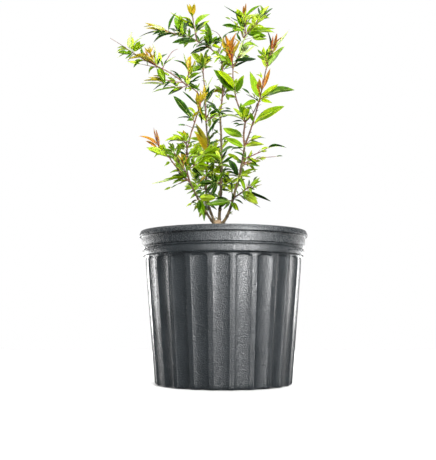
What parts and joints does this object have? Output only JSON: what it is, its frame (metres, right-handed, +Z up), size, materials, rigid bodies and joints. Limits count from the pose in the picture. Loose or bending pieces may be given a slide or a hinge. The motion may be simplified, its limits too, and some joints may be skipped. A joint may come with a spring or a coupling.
{
  "type": "potted pomegranate tree",
  "caption": "Young multi-stemmed pomegranate tree with narrow green and bronze leaves, in a ribbed black nursery pot filled with bark soil.",
  "frame": {"origin": "middle of the pot's flat underside", "axes": "+Z up along the pot's axis, -Y towards the side the plant is seen from, +X to the right of that view"},
  "size_m": [0.3236, 0.28, 0.6685],
  "materials": {
    "pot_plastic": "black satin blow-moulded polyethylene",
    "soil_mix": "damp dark bark mix with white perlite",
    "bark": "thin grey-brown bark",
    "young_bark": "smooth red-brown young bark",
    "leaf_dark": "shaded dark green leaf",
    "leaf_bronze": "young bronze leaf",
    "leaf_green": "glossy mid-green leaf",
    "leaf_orange": "young orange-red leaf",
    "leaf_pale": "pale back of a young leaf",
    "leaf_lime": "young lime-green leaf",
    "leaf_bright": "glossy bright green leaf"
  },
  "bodies": {
    "root": {"pot": "pot_plastic", "soil": "soil_mix", "trunk": "bark", "stem_left_outer": "bark", "stem_left_inner": "bark", "stem_centre": "bark", "stem_right": "bark", "stem_right_upper": "bark", "bough_left_low": "young_bark", "bough_left_mid": "young_bark", "bough_left_upper": "young_bark", "bough_left_reach": "young_bark", "bough_inner_top": "young_bark", "bough_centre_top": "young_bark", "bough_top_left": "young_bark", "bough_right_dark": "young_bark", "bough_right_inner": "young_bark", "bough_right_red": "young_bark", "bough_right_outer": "young_bark", "bough_right_low": "young_bark", "bough_top_right": "young_bark", "leaves_low_left": "leaf_dark", "leaves_left_hub": "leaf_bronze", "leaves_left_inside": "leaf_green", "leaves_left_low_tip": "leaf_green", "leaves_left_core": "leaf_green", "leaves_left_side": "leaf_green", "leaves_left_node": "leaf_green", "leaves_left_tuft": "leaf_bronze", "leaves_left_crook": "leaf_green", "leaves_left_spur": "leaf_green", "leaves_left_reach": "leaf_green", "leaves_inner_low": "leaf_green", "leaves_inner_mid": "leaf_green", "leaves_inner_orange": "leaf_green", "leaves_inner_upper": "leaf_dark", "leaves_inner_top": "leaf_green", "leaves_centre_back": "leaf_green", "leaves_centre_front": "leaf_dark", "leaves_centre_mid": "leaf_green", "leaves_centre_upper": "leaf_green", "leaves_upper_back": "leaf_green", "leaves_top_hub": "leaf_dark", "leaves_top_left": "leaf_dark", "leaves_top_reach": "leaf_dark", "leaves_crown_right": "leaf_green", "leaves_crown_orange": "leaf_orange", "leaves_crown_pale": "leaf_pale", "leaves_crown_top": "leaf_lime", "leaves_crown_sprig": "leaf_lime", "leaves_right_low": "leaf_dark", "leaves_right_spur": "leaf_dark", "leaves_right_node": "leaf_green", "leaves_right_arch": "leaf_green", "leaves_right_back": "leaf_green", "leaves_right_fork": "leaf_bright", "leaves_right_dark": "leaf_green", "leaves_right_hub": "leaf_green", "leaves_right_blade": "leaf_green", "leaves_right_tip": "leaf_lime"}
  },
  "joints": []
}
